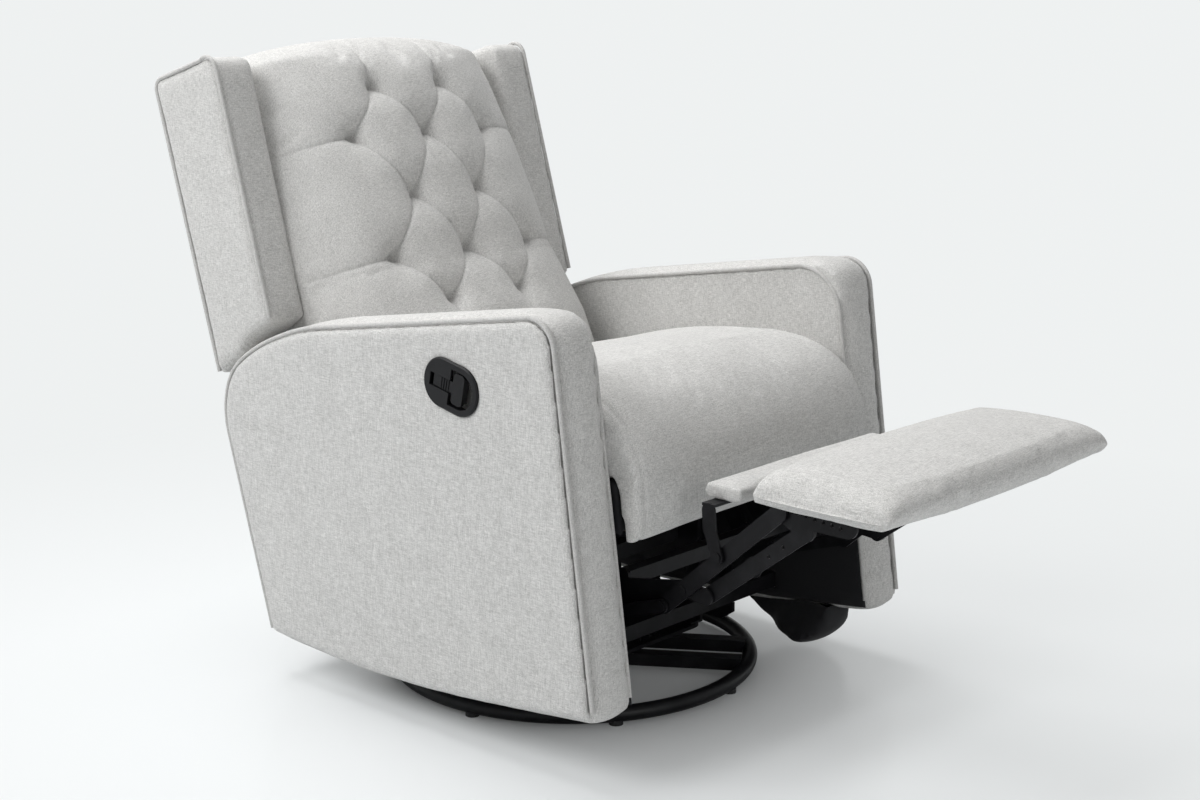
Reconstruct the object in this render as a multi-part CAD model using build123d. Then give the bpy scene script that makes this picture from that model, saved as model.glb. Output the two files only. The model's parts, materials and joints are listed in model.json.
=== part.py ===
from build123d import *
import math
import os

# Swivel glider recliner, millimetres, +Z up.
# Origin: on the floor under the swivel axis. The chair faces -Y and its release handle is on -X.
# The body sits pitched back on its glide rails, so the upholstered parts are drawn level
# ("level frame") and then turned about the X axis through the origin by PITCH.

# ---- driving dimensions ----
PITCH = 8.0                 # backward lean of the whole body on the glider
ARM_OUT = 380.0             # outer face of an arm
ARM_IN = 288.0              # inner face of an arm
PANEL_T = 12.0              # thickness of the outer side panel
PIPING_R = 3.5              # welt cord
ARM_TOP = 615.0             # arm height in the level frame
ARM_FRONT = -398.0
RING_R = 292.0              # base ring, tube centre line
TUBE_R = 12.5
RING_Z = 16.0
BAR_OFFSET = 43.0           # crossbars, either side of the centre
BAR_ANGLE = -56.0
FOOT_COUNT = 8
FOOT_START = -169.0
GLIDE_Y = 120.0             # swing link pivots
GLIDE_TOP_Z = 235.0
GLIDE_LOW_Z = 85.0
BALL_R = 4.0                # swivel bearing
BALL_Z = 46.0
RACE_R = 72.0
RACE_HALF = 14.0
CHASSIS_TUBE = 25.0         # square tubes that join the two arms
CHASSIS_TUBE_Y = (-185.0, 200.0)
CHASSIS_TUBE_Z = 112.5
SEAT_SLIDE = 35.0
HINGE = (201.6, 361.6)      # recline hinge in the level frame (y, z)
BACK_FOOT = (376.0, 530.0)  # a point on the rear face of the back, level frame
BACK_LEAN = 10.3            # lean of that rear face in the level frame
PAD_HALF = 280.0            # footrest half width
PIN_CLEAR = 0.15            # radial gap of a hinge pin in a moving strap
HANDLE_Y = -196.0           # middle of the release handle's bezel, level frame
HANDLE_Z = 520.0
HANDLE_TILT = 20.0
BEZEL_LONG = 112.0
BEZEL_WIDE = 74.0
PADDLE_PIVOT = 36.0
PADDLE_PIN_X = -373.0

# footrest linkage, world (y, z), footrest out
C1 = (-250.0, 235.0)        # drive link on the mechanism plate
C2 = (-215.1, 181.7)        # idler link on the mechanism plate
J = (-418.0, 266.0)         # elbow between drive link and long link
P2 = (-455.0, 263.0)        # follower link on the drive link
B1 = (-585.0, 412.0)        # long link on the footrest bracket
B2 = (-625.0, 392.0)        # follower link on the footrest bracket
F = (-484.0, 330.0)         # flipper bracket on the long link
TAIL = 45.0                 # long link's tail beyond the elbow

# strap layers, distance of the inner face from the middle of the chair
GUIDE_X = 190.0
PLATE_X = 198.0
FOLLOWER_X = 204.0
DRIVE_X = 210.0
LONG_X = 216.0
IDLER_X = 222.0
STRAP_T = 4.0


# ---- helpers ----
def level(part):
    """Turn a part drawn in the level frame to the pitched body."""
    return Rot(X=-PITCH) * part


def on_back(part):
    """Place a part drawn in the back's own frame: y = 0 is its rear face, z runs up it."""
    return level(Pos(0, BACK_FOOT[0], BACK_FOOT[1]) * Rot(X=-BACK_LEAN) * part)


def level_to_world(y, z):
    c = math.cos(math.radians(PITCH))
    s = math.sin(math.radians(PITCH))
    return (y * c + z * s, z * c - y * s)


def slab(face, x_from, x_to):
    """Extrude a side-view face (y, z) between two X positions."""
    return extrude(Plane.YZ.offset(x_from) * face, x_to - x_from)


def box_between(low, high):
    size = [b - a for a, b in zip(low, high)]
    centre = [(a + b) / 2 for a, b in zip(low, high)]
    return Pos(*centre) * Box(*size)


def mirrored(part):
    return mirror(part, Plane.YZ)


def pair(part):
    return [part, mirrored(part)]


def bar_face(p, q, width):
    """A strap outline with round ends, centred on p and q."""
    length = math.dist(p, q)
    angle = math.degrees(math.atan2(q[1] - p[1], q[0] - p[0]))
    middle = ((p[0] + q[0]) / 2, (p[1] + q[1]) / 2)
    return Pos(*middle) * Rot(Z=angle) * SlotCenterToCenter(length, width)


def disc(p, radius):
    return Pos(*p) * Circle(radius)


def pin(p, radius, x_from, x_to):
    return slab(disc(p, radius), x_from, x_to)


def tube_between(y, z, half, size, wall=2.0):
    """A square cross tube along X."""
    outer = Pos(0, y, z) * Box(2 * half, size, size)
    bore = Pos(0, y, z) * Box(2 * half, size - 2 * wall, size - 2 * wall)
    return outer - bore


# ---- base: ring, crossbars, bearing ----
def base_ring():
    return Pos(0, 0, RING_Z) * Torus(RING_R, TUBE_R)


def base_crossbars():
    half = math.sqrt((RING_R - TUBE_R / 2) ** 2 - BAR_OFFSET ** 2)
    bars = []
    for side in (-1, 1):
        bar = Pos(0, side * BAR_OFFSET, RING_Z + 8) * Box(2 * half, 25, 20)
        bars.append(Rot(Z=BAR_ANGLE) * bar - base_ring())
    return bars


def foot_glides():
    feet = []
    for i in range(FOOT_COUNT):
        foot = Pos(RING_R, 0, 4) * Cylinder(11, 8)
        feet.append(Rot(Z=FOOT_START + i * 360 / FOOT_COUNT) * foot - base_ring())
    return feet


def base_plate():
    plate = Pos(0, 0, 36) * Cylinder(112, 4)
    return plate - Pos(0, 0, 36) * Cylinder(10, 4)


def race(z_low, z_high):
    middle = (z_low + z_high) / 2
    height = z_high - z_low
    ring = Pos(0, 0, middle) * (Cylinder(RACE_R + RACE_HALF, height) - Cylinder(RACE_R - RACE_HALF, height))
    return ring - Pos(0, 0, BALL_Z) * Torus(RACE_R, BALL_R + 0.3)


def bearing_balls():
    return [Rot(Z=i * 30) * Pos(RACE_R, 0, BALL_Z) * Sphere(BALL_R) for i in range(12)]


def swivel_bolt():
    shank = Pos(0, 0, 45) * Cylinder(10, 31)
    head = Pos(0, 0, 60.3) * extrude(RegularPolygon(16, 6), 8)
    nut = Pos(0, 0, 26) * extrude(RegularPolygon(16, 6), 8)
    return shank + head + nut


# ---- swivel: plate, stand ----
def swivel_plate():
    plate = Pos(0, 0, 54) * extrude(RectangleRounded(324, 300, 30), 6)
    bore = Pos(0, 0, 57) * Cylinder(10 + PIN_CLEAR, 6)
    slots = [Pos(0, y, 57) * Box(120, 40, 6) for y in (-118, 118)]
    return plate - bore - slots


def glider_stand():
    """One upright plate with a hat foot, carrying the two top pivots of its side."""
    foot_z = 60.0
    outline = make_face(Polyline(
        (-148, foot_z), (148, foot_z), (148, 74), (117, 92), (117, 152), (140, 205), (140, 238),
        (102, 250), (60, 230), (-60, 230), (-102, 250), (-140, 238), (-140, 205), (-117, 152),
        (-117, 92), (-148, 74), close=True))
    outline = outline + disc((-GLIDE_Y, GLIDE_TOP_Z), 20) + disc((GLIDE_Y, GLIDE_TOP_Z), 20)
    windows = [disc((y, 122), 34) for y in (-88, 0, 88)]
    plate = slab(outline - windows, 150, 156)
    flange = box_between((126, -148, foot_z), (150, 148, foot_z + 4))
    for y in (-GLIDE_Y, GLIDE_Y):
        plate = plate + pin((y, GLIDE_TOP_Z), 6, 156, 169)
        plate = plate + pin((y, GLIDE_TOP_Z), 10, 156, 159.5)
    return plate + flange


def stand_tubes():
    return [tube_between(y, 205, 150, 25) for y in (-85, 85)]


# ---- glide: hanging links and rails ----
def glide_links(y):
    top = (y, GLIDE_TOP_Z)
    low = (y, GLIDE_LOW_Z)
    face = bar_face(top, low, 30) - disc(top, 6 + PIN_CLEAR) - disc(low, 6 + PIN_CLEAR)
    return pair(slab(face, 160, 166))


def glide_rail():
    """A flat rail with a rolled lip, hung from the links by two studs."""
    outline = make_face(Polyline(
        (-200, 100), (-200, 84), (-176, 68), (196, 68), (215, 84), (215, 100), close=True))
    rail = slab(outline, 170, 176)
    lip = box_between((176, -176, 68), (190, 196, 72))
    for y in (-GLIDE_Y, GLIDE_Y):
        rail = rail + pin((y, GLIDE_LOW_Z), 6, 157, 170)
        rail = rail + pin((y, GLIDE_LOW_Z), 10, 166.5, 170)
    return rail + lip


def chassis_tubes(half=325.0):
    return [tube_between(y, CHASSIS_TUBE_Z, half, CHASSIS_TUBE) for y in CHASSIS_TUBE_Y]


ROLLERS = [level_to_world(-120, 262), level_to_world(110, 262)]


def mechanism_support():
    """Side plate on the cross tubes, carrying the two guide rollers of the seat plate."""
    foot = CHASSIS_TUBE_Z + CHASSIS_TUBE / 2
    outline = make_face(Polyline(
        (-198, foot), (-172, foot), (-70, 168), (110, 164), (186, foot), (213, foot),
        (163, 228), (155, 260), (130, 265), (-66, 294), (-104, 292), close=True))
    front_window = make_face(Polyline((-110, 190), (-10, 188), (-10, 232), (-96, 244), close=True))
    rear_window = make_face(Polyline((14, 188), (116, 186), (118, 214), (14, 228), close=True))
    plate = slab(outline - front_window - rear_window, GUIDE_X, GUIDE_X + 4)
    for roller in ROLLERS:
        plate = plate + pin(roller, 7.5, GUIDE_X + 4, PLATE_X + STRAP_T + 0.5)
        plate = plate + pin(roller, 12, GUIDE_X + 4, PLATE_X - 0.5)
    return plate


# ---- arms ----
def arm_edge():
    """The run of the arm's outer edge: front, top and rear, level frame (y, z)."""
    front = Line((ARM_FRONT, 45), (ARM_FRONT, ARM_TOP - 45))
    nose = TangentArc(front @ 1, (ARM_FRONT + 45, ARM_TOP), tangent=front % 1)
    top = Line(nose @ 1, (100, 608))
    shoulder = TangentArc(top @ 1, (300, 553), tangent=top % 1)
    heel = TangentArc(shoulder @ 1, (359, 440), tangent=shoulder % 1)
    rear = Line(heel @ 1, (308, 111))
    return [front, nose, top, shoulder, heel, rear]


def arm_face():
    run = arm_edge()
    hem = ThreePointArc(run[-1] @ 1, (70, 68), (-206, 49))
    toe = Line(hem @ 1, run[0] @ 0)
    return make_face(run + [hem, toe])


def arm_frame():
    """Plywood side panel inside the arm, with hand holes."""
    face = offset(arm_face(), -22)
    holes = [disc((y, z), 42) for y in (-290, -150, -10, 130, 250) for z in (220, 350, 480)]
    return level(slab(face - holes, 326, 344))


def arm_pad():
    """Upholstered body of the arm, closed round its panel and the ends of the cross tubes."""
    body = level(slab(offset(arm_face(), -PIPING_R - 0.1), ARM_IN, ARM_OUT - PANEL_T))
    sockets = [Pos(307, y, CHASSIS_TUBE_Z) * Box(38, CHASSIS_TUBE, CHASSIS_TUBE) for y in CHASSIS_TUBE_Y]
    return body - arm_frame() - sockets


def side_panel():
    panel = slab(offset(arm_face(), -7), ARM_OUT - PANEL_T, ARM_OUT)
    rim = panel.faces().sort_by(Axis.X)[-1].edges()
    return level(chamfer(rim, 4))


def arm_piping():
    """Welt cord along the outer and inner edges, front bottom over the top to the rear bottom."""
    run = Wire(arm_edge())
    cords = []
    for x in (ARM_IN + 2.5, ARM_OUT - PANEL_T + 2.5):
        path = Plane.YZ.offset(x) * run
        section = Plane(origin=path @ 0, z_dir=path % 0) * Circle(PIPING_R)
        cords.append(level(sweep(section, path)))
    return cords


def arm_lining():
    """Black cloth on the lower inner face of the arm."""
    reach = make_face(Polyline(
        (-386, 62), (-386, 268), (288, 268), (300, 130), (120, 84), (-200, 62), close=True))
    sockets = [Pos(ARM_IN, y, CHASSIS_TUBE_Z) * Box(6, CHASSIS_TUBE, CHASSIS_TUBE) for y in CHASSIS_TUBE_Y]
    return level(slab(reach, ARM_IN - 1.5, ARM_IN)) - sockets


def rear_panel():
    panel = box_between((-ARM_IN + 1.5, 296, 118), (ARM_IN - 1.5, 310, 272))
    return level(fillet(panel.edges().filter_by(Axis.X), 5))


# ---- release handle ----
def at_handle(part):
    """Place a part drawn about the bezel: y runs along the bezel to the rear, z across it."""
    return level(Pos(0, HANDLE_Y, HANDLE_Z) * Rot(X=HANDLE_TILT) * part)


def bezel_block(shrink, x_from, x_to):
    return slab(SlotOverall(BEZEL_LONG - 2 * shrink, BEZEL_WIDE - 2 * shrink), x_from, x_to)


def across_pin(radius, half):
    return Pos(PADDLE_PIN_X, PADDLE_PIVOT, 0) * Cylinder(radius, 2 * half)


def bezel_opening():
    """T-shaped: a hand hole round the paddle's grip and a slot for its stem."""
    hand = bezel_block(10, -ARM_OUT - 4, -ARM_OUT) & box_between((-ARM_OUT - 4, -50, -40), (-ARM_OUT, 1.5, 40))
    return hand + box_between((-ARM_OUT - 4, 0, -9.7), (-ARM_OUT, 42, 9.7))


def handle_bezel():
    flange = chamfer(bezel_block(0, -ARM_OUT - 4, -ARM_OUT).faces().sort_by(Axis.X)[0].edges(), 2)
    cup = flange - bezel_opening() + bezel_block(5, -ARM_OUT, -ARM_OUT + 24)
    cup = cup - bezel_block(8, -ARM_OUT, -ARM_OUT + 21)
    for side in (-1, 1):
        cup = cup + box_between((-378, 31, side * 16 - 2), (-359, 41, side * 16 + 2))
    return at_handle(cup - across_pin(2.5, 18))


def paddle_pin():
    return at_handle(across_pin(2.5, 18))


def release_paddle():
    grip = Pos(-14, 0) * RectangleRounded(22, 47, 6)
    blade = slab(grip, -382, -377)
    blade = blade + box_between((-382, -8, -8.5), (-377, 36, 8.5))
    blade = blade + box_between((-377.5, 31, -8.5), (-373, 36, 8.5))
    blade = blade + across_pin(5.5, 13)
    blade = blade + box_between((-377, -25, -18), (-371, -21, 18))
    for k in range(4):
        blade = blade + box_between((-383, 4 + 5 * k, -8.5), (-382, 6 + 5 * k, 8.5))
    return at_handle(blade - across_pin(2.5 + PIN_CLEAR, 18))


def handle_pocket():
    return at_handle(bezel_block(5, -ARM_OUT, -ARM_OUT + 24))


# ---- seat ----
def seat_frame():
    sides = pair(box_between((238, -395, 300), (274, 225, 360)))
    front = box_between((-238, -395, 290), (238, -360, 360))
    rear = box_between((-238, 118, 300), (238, 153, 360))
    return [level(rail) for rail in sides + [front, rear]]


def seat_springs():
    """Five flat zigzag springs from the front rail to the rear rail."""
    pitch = 26.0
    swing = 22.0
    start = -392.0
    count = 20
    springs = []
    for x in (-180, -90, 0, 90, 180):
        near = []
        for i in range(count):
            side = swing if i % 2 else -swing
            near += [(x + side, start + i * pitch), (x + side, start + (i + 1) * pitch)]
        line = Polyline(*near)
        band = trace(line, 4)
        springs.append(level(Pos(0, 0, 360) * extrude(band, 4)))
    return springs


def seat_deck():
    return level(box_between((-272, -392, 364), (272, 150, 374)))


def seat_section(x, crown, bulge):
    """Side profile of the seat at one X: crowned top, waterfall front, apron below."""
    rear_low = (92, 375)
    rear_top = (104, 462 + 0.4 * crown)
    brow = (-300, 486 + crown)
    chest = (-430 - bulge, 395)
    hem_front = (-424 - bulge, 292)
    hem_rear = (-402, 280)
    inner = (-402, 375)
    edges = [
        ThreePointArc(rear_low, (100, 420), rear_top),
        ThreePointArc(rear_top, (-98, 488 + crown), brow),
        ThreePointArc(brow, (-396 - bulge, 456 + 0.6 * crown), chest),
        ThreePointArc(chest, (-433 - bulge, 343), hem_front),
        ThreePointArc(hem_front, (-416 - bulge / 2, 281), hem_rear),
        Line(hem_rear, inner),
        Line(inner, rear_low),
    ]
    return Plane.YZ.offset(x) * make_face(edges)


def seat_cushion():
    near = [(-283, 0, 0), (-262, 14, 5), (-130, 26, 9)]
    far = [(-x, crown, bulge) for x, crown, bulge in reversed(near)]
    return level(loft([seat_section(*s) for s in near + [(0, 30, 10)] + far]))


def mechanism_plate():
    """Seat side plate: slotted rail, front lobe for the linkage, rear horn for the back."""
    world = [level_to_world(*p) for p in (
        (-262, 296), (176, 296), (183, 352), (220, 352), (226, 262), (196, 240),
        (-150, 240), (-205, 236))]
    lobe = bar_face(C1, C2, 34) + bar_face(C2, level_to_world(-190, 250), 34)
    neck = bar_face(C1, level_to_world(-236, 272), 40)
    outline = make_face(Polyline(*world, close=True)) + lobe + neck
    outline = outline + disc(level_to_world(*HINGE), 20)
    slots = []
    for roller in ROLLERS:
        c = math.cos(math.radians(PITCH))
        s = math.sin(math.radians(PITCH))
        far = (roller[0] + SEAT_SLIDE * c, roller[1] - SEAT_SLIDE * s)
        slots.append(bar_face(roller, far, 2 * (7.5 + 0.3)))
    plate = slab(outline - slots, PLATE_X, PLATE_X + STRAP_T)
    flange = level(box_between((PLATE_X, -250, 296), (268, 168, 300)))
    plate = plate + flange
    plate = plate + pin(C1, 8, PLATE_X + STRAP_T, DRIVE_X - 0.3)
    plate = plate + pin(C1, 4, PLATE_X + STRAP_T, DRIVE_X + STRAP_T + 1.8)
    plate = plate + pin(C1, 7, DRIVE_X + STRAP_T + 0.3, DRIVE_X + STRAP_T + 1.8)
    plate = plate + pin(C2, 8, PLATE_X + STRAP_T, IDLER_X - 0.3)
    plate = plate + pin(C2, 4, PLATE_X + STRAP_T, IDLER_X + STRAP_T + 1.8)
    plate = plate + pin(C2, 7, IDLER_X + STRAP_T + 0.3, IDLER_X + STRAP_T + 1.8)
    hinge = level_to_world(*HINGE)
    plate = plate + pin(hinge, 5, PLATE_X + STRAP_T, 216)
    plate = plate + pin(hinge, 9, PLATE_X + STRAP_T, 205.7)
    return plate


def seat_tubes():
    tubes = [Pos(0, y, 276) * Box(2 * PLATE_X, 25, 25) - Pos(0, y, 276) * Box(2 * PLATE_X, 21, 21)
             for y in (-215, 178)]
    return [level(tube) for tube in tubes]


# ---- back ----
def back_bracket():
    """Strap from the recline hinge to the stile of the back frame."""
    low = level_to_world(318, 372)
    high = level_to_world(331, 420)
    hinge = level_to_world(*HINGE)
    face = bar_face(hinge, low, 32) + bar_face(low, high, 32)
    return slab(face - disc(hinge, 5 + PIN_CLEAR), 206, 211)


def back_frame():
    """Plywood back board with webbing windows, notched for the hinge straps."""
    board = box_between((-262, -42, -190), (262, -8, 486))
    windows = [Pos(x, -25, -110 + k * 130) * Box(110, 34, 96) for x in (-135, 0, 135) for k in range(5)]
    notch = box_between((190, -42, -190), (211, -8, -98))
    return on_back(board - windows - notch - mirrored(notch))


def cushion_section(w, crown, edge, half):
    """Plan section of the back cushion at height w: crowned front, rounded flanks."""
    flank = 40.0
    front_left = (-half + flank, edge - 8)
    front_right = (half - flank, edge - 8)
    edges = [
        ThreePointArc((-half, edge + flank), (-half + 9, edge + 8), front_left),
        ThreePointArc(front_left, (0, crown), front_right),
        ThreePointArc(front_right, (half - 9, edge + 8), (half, edge + flank)),
        Line((half, edge + flank), (half, -42)),
        Line((half, -42), (-half, -42)),
        Line((-half, -42), (-half, edge + flank)),
    ]
    return Pos(0, 0, w) * make_face(edges)


BACK_STATIONS = [
    (-95, -298, -258, 262),
    (-20, -306, -246, 268),
    (100, -268, -214, 268),
    (210, -252, -194, 268),
    (325, -230, -168, 268),
    (420, -214, -142, 266),
    (480, -188, -124, 258),
    (512, -132, -104, 236),
]
TUFTS = [(-75, 416), (75, 416), (-146, 331), (0, 331), (146, 331), (-72, 224), (72, 224),
         (-152, 122), (0, 122), (152, 122), (-78, 38), (78, 38)]


def cushion_front(w):
    """Front crown position of the back cushion at height w."""
    for (w0, c0, _, _), (w1, c1, _, _) in zip(BACK_STATIONS, BACK_STATIONS[1:]):
        if w0 <= w <= w1:
            return c0 + (c1 - c0) * (w - w0) / (w1 - w0)
    return BACK_STATIONS[-1][1]


def back_cushion():
    body = loft([cushion_section(*s) for s in BACK_STATIONS])
    for x, w in TUFTS:
        sink = cushion_front(w) + 46 * (x / 228) ** 2
        body = body - Pos(x, sink - 22, w) * Sphere(42)
    return on_back(body)


def wing_face():
    """Side view of a wing in the back's frame: it stands on the arm's shoulder."""
    front = Line((-141, 46), (-156, 470))
    crest = ThreePointArc(front @ 1, (-146, 488), (-120, 494))
    top = Line(crest @ 1, (6, 498))
    nape = ThreePointArc(top @ 1, (12.2, 496), (14, 490))
    rear = Line(nape @ 1, (25, 2))
    seat_line = ThreePointArc(rear @ 1, (-66, 26), front @ 0)
    return make_face([front, crest, top, nape, rear, seat_line])


def back_wing():
    """A wing with a rebate round its outer face for the welt."""
    body = slab(wing_face(), 271, 342) + slab(offset(wing_face(), -6), 342, 350)
    return on_back(body)


def back_panel():
    """Padded outer back between the wings, and its tail below them."""
    wide = slab(make_face(Polyline((-8, 4), (24.5, 4), (13.5, 498), (-8, 498), close=True)), -270.6, 270.6)
    tail = box_between((-270.6, -8, -190), (270.6, 0, 4))
    return on_back(wide + tail)


def wing_piping():
    """Welt cord up the outer front edge of each wing and along its top."""
    cords = []
    for side in (-1, 1):
        run = Wire([Line((-138.6, 52), (-153.2, 469.8)),
                    ThreePointArc((-153.2, 469.8), (-143.9, 486.2), (-120, 491.3)),
                    Line((-120, 491.3), (4, 495.2))])
        path = Plane.YZ.offset(side * 345.4) * run
        section = Plane(origin=path @ 0, z_dir=path % 0) * Circle(3.1)
        cords.append(on_back(sweep(section, path)))
    return cords


# ---- footrest linkage ----
def tail_point():
    length = math.dist(J, B1)
    return (J[0] + TAIL * (J[0] - B1[0]) / length, J[1] + TAIL * (J[1] - B1[1]) / length)


def drive_link():
    face = bar_face(C1, J, 26) + bar_face(J, P2, 24)
    bore = disc(C1, 4 + PIN_CLEAR)
    link = slab(face - bore, DRIVE_X, DRIVE_X + STRAP_T)
    link = link + pin(J, 4, DRIVE_X + STRAP_T, LONG_X + STRAP_T + 1.6)
    link = link + pin(J, 7, LONG_X + STRAP_T + 0.3, LONG_X + STRAP_T + 1.6)
    link = link + pin(P2, 4, FOLLOWER_X - 1.6, DRIVE_X)
    link = link + pin(P2, 7, FOLLOWER_X - 1.6, FOLLOWER_X - 0.3)
    horn = bar_face((-300, 244), (-300, 262), 22)
    return link + slab(horn, DRIVE_X, DRIVE_X + STRAP_T)


def torque_tube():
    return tube_between(-300, 258, DRIVE_X, 22)


def long_link():
    tail = tail_point()
    face = bar_face(tail, B1, 25) - disc(J, 4 + PIN_CLEAR)
    link = slab(face, LONG_X, LONG_X + STRAP_T)
    link = link + pin(B1, 4, DRIVE_X - 1.6, LONG_X)
    link = link + pin(B1, 7, DRIVE_X - 1.6, DRIVE_X - 0.3)
    link = link + pin(F, 4, LONG_X + STRAP_T, IDLER_X + STRAP_T + 1.8)
    link = link + pin(F, 7, IDLER_X + STRAP_T + 0.3, IDLER_X + STRAP_T + 1.8)
    return link + pin(tail, 7, LONG_X + STRAP_T, LONG_X + STRAP_T + 1.5)


def idler_link():
    tail = tail_point()
    face = bar_face(C2, tail, 20) - disc(C2, 4 + PIN_CLEAR)
    return slab(face, IDLER_X, IDLER_X + STRAP_T) + pin(tail, 7, IDLER_X + STRAP_T, IDLER_X + STRAP_T + 2)


def follower_link():
    washer = (P2[0] + 0.447 * (B2[0] - P2[0]), P2[1] + 0.447 * (B2[1] - P2[1]))
    face = bar_face(P2, B2, 24) - disc(P2, 4 + PIN_CLEAR)
    for k in (0.62, 0.76):
        face = face - disc((P2[0] + k * (B2[0] - P2[0]), P2[1] + k * (B2[1] - P2[1])), 3)
    link = slab(face, FOLLOWER_X, FOLLOWER_X + STRAP_T)
    link = link + pin(B2, 7, FOLLOWER_X - 1.6, FOLLOWER_X)
    return link + pin(washer, 15, FOLLOWER_X - 1.6, FOLLOWER_X)


def footrest_bracket():
    top = 428.0
    face = bar_face(B1, (-692, 412), 32) + bar_face(B1, B2, 26) + disc(B2, 14)
    face = face - disc(B1, 4 + PIN_CLEAR)
    for i in range(6):
        face = face - disc((-612 - 14 * i, 416 - 1.5 * i), 3)
    arm = slab(face, DRIVE_X, DRIVE_X + STRAP_T)
    arm = arm + pin(B2, 7, FOLLOWER_X + STRAP_T + 0.4, DRIVE_X)
    return arm + box_between((190, -692, top), (DRIVE_X + STRAP_T, -600, top + 4))


def footrest_board():
    board = Pos(0, -692, 436) * Box(510, 205, 8)
    return fillet(board.edges().filter_by(Axis.Z), 20)


def footrest_section(x, crown, pull):
    """Side profile of the footrest cushion at one X."""
    rear = -575 - pull
    front = -812 + pull
    edges = [
        Line((rear, 440), (front + 12, 440)),
        ThreePointArc((front + 12, 440), (front, 458), (front + 16, 478)),
        ThreePointArc((front + 16, 478), (-694, 479 + crown), (rear - 8, 476)),
        ThreePointArc((rear - 8, 476), (rear, 460), (rear, 440)),
    ]
    return Plane.YZ.offset(x) * make_face(edges)


def footrest_cushion():
    stations = [(-PAD_HALF, 0, 9), (-150, 9, 2.5), (0, 12, 0), (150, 9, 2.5), (PAD_HALF, 0, 9)]
    return loft([footrest_section(*s) for s in stations])


def flipper_bracket():
    face = bar_face(F, (-470, 368), 20) + bar_face((-470, 368), (-468, 394), 22)
    face = face - disc(F, 4 + PIN_CLEAR)
    strap = slab(face, IDLER_X, IDLER_X + STRAP_T)
    return strap + box_between((120, -479, 400), (IDLER_X + STRAP_T, -457, 404))


def flipper_pad():
    pad = box_between((-200, -507, 404), (200, -440, 426))
    return fillet(pad.edges().filter_by(Axis.X), 8)


# ---- black cloth under the far arm ----
def cloth_section(y, low, x_in, x_out):
    edges = [
        Line((300, 130), (x_in, low + 12)),
        ThreePointArc((x_in, low + 12), ((x_in + x_out) / 2, low), (x_out - 6, low + 8)),
        ThreePointArc((x_out - 6, low + 8), (x_out, low + 16), (x_out - 3, low + 26)),
        Line((x_out - 3, low + 26), (330, 130)),
        Line((330, 130), (300, 130)),
    ]
    return Plane(origin=(0, y, 0), x_dir=(1, 0, 0), z_dir=(0, -1, 0)) * make_face(edges)


def dust_cover():
    """Loose bottom cloth that sags out from under the arm nearly to the floor, clear of the ring."""
    stations = [(-318, 72, 264, 336), (-292, 28, 250, 356), (-255, 14, 256, 364),
                (-205, 17, 286, 358), (-140, 46, 306, 346), (-84, 76, 312, 334)]
    body = loft([cloth_section(*s) for s in stations])
    tube = Pos(307, CHASSIS_TUBE_Y[0], CHASSIS_TUBE_Z) * Box(120, CHASSIS_TUBE + 1, CHASSIS_TUBE + 1)
    cut = body - level(slab(arm_face(), ARM_IN - 2, ARM_OUT)) - tube
    return cut.solids().sort_by(SortBy.VOLUME)[-1]


def build():
    """Every node of the chair: name -> list of solids."""
    pocket = handle_pocket()
    pad = arm_pad()
    panel = side_panel()
    frame = arm_frame()
    cords = arm_piping()
    wing = back_wing()
    wing_cords = wing_piping()
    plate = mechanism_plate()
    stand = glider_stand()
    rail = glide_rail()
    nodes = {
        "base_ring": [base_ring()],
        "base_crossbars": base_crossbars(),
        "foot_glides": foot_glides(),
        "base_plate": [base_plate()],
        "lower_race": [race(38, 43)],
        "bearing_balls": bearing_balls(),
        "swivel_bolt": [swivel_bolt()],
        "upper_race": [race(49, 54)],
        "swivel_plate": [swivel_plate()],
        "glider_stand_left": [stand],
        "glider_stand_right": [mirrored(stand)],
        "stand_cross_tubes": stand_tubes(),
        "front_glide_links": glide_links(-GLIDE_Y),
        "rear_glide_links": glide_links(GLIDE_Y),
        "glide_rail_left": [rail],
        "glide_rail_right": [mirrored(rail)],
        "chassis_cross_tubes": chassis_tubes(),
        "mechanism_supports": pair(mechanism_support()),
        "arm_frame_left": [frame],
        "arm_frame_right": [mirrored(frame)],
        "arm_pad_left": [pad],
        "arm_pad_right": [mirrored(pad) - pocket],
        "side_panel_left": [panel],
        "side_panel_right": [mirrored(panel) - pocket],
        "arm_piping_left": cords,
        "arm_piping_right": [mirrored(cord) for cord in cords],
        "arm_linings": pair(arm_lining()),
        "rear_panel": [rear_panel()],
        "handle_bezel": [handle_bezel()],
        "paddle_pin": [paddle_pin()],
        "release_paddle": [release_paddle()],
        "dust_cover": [dust_cover()],
        "seat_frame": seat_frame(),
        "seat_springs": seat_springs(),
        "seat_deck": [seat_deck()],
        "seat_cushion": [seat_cushion()],
        "mechanism_plate_left": [plate],
        "mechanism_plate_right": [mirrored(plate)],
        "seat_cross_tubes": seat_tubes(),
        "back_brackets": pair(back_bracket()),
        "back_frame": [back_frame()],
        "back_cushion": [back_cushion()],
        "back_wing_left": [wing],
        "back_wing_right": [mirrored(wing)],
        "back_panel": [back_panel()],
        "wing_piping_left": [wing_cords[1]],
        "wing_piping_right": [wing_cords[0]],
        "drive_links": pair(drive_link()),
        "torque_tube": [torque_tube()],
        "long_links": pair(long_link()),
        "idler_links": pair(idler_link()),
        "follower_links": pair(follower_link()),
        "footrest_brackets": pair(footrest_bracket()),
        "footrest_board": [footrest_board()],
        "footrest_cushion": [footrest_cushion()],
        "flipper_brackets": pair(flipper_bracket()),
        "flipper_pad": [flipper_pad()],
    }
    return nodes


def write(nodes):
    os.makedirs("parts", exist_ok=True)
    for name, solids in nodes.items():
        shape = solids[0] if len(solids) == 1 else Compound(solids)
        export_step(shape, f"parts/{name}.step")


write(build())
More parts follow.
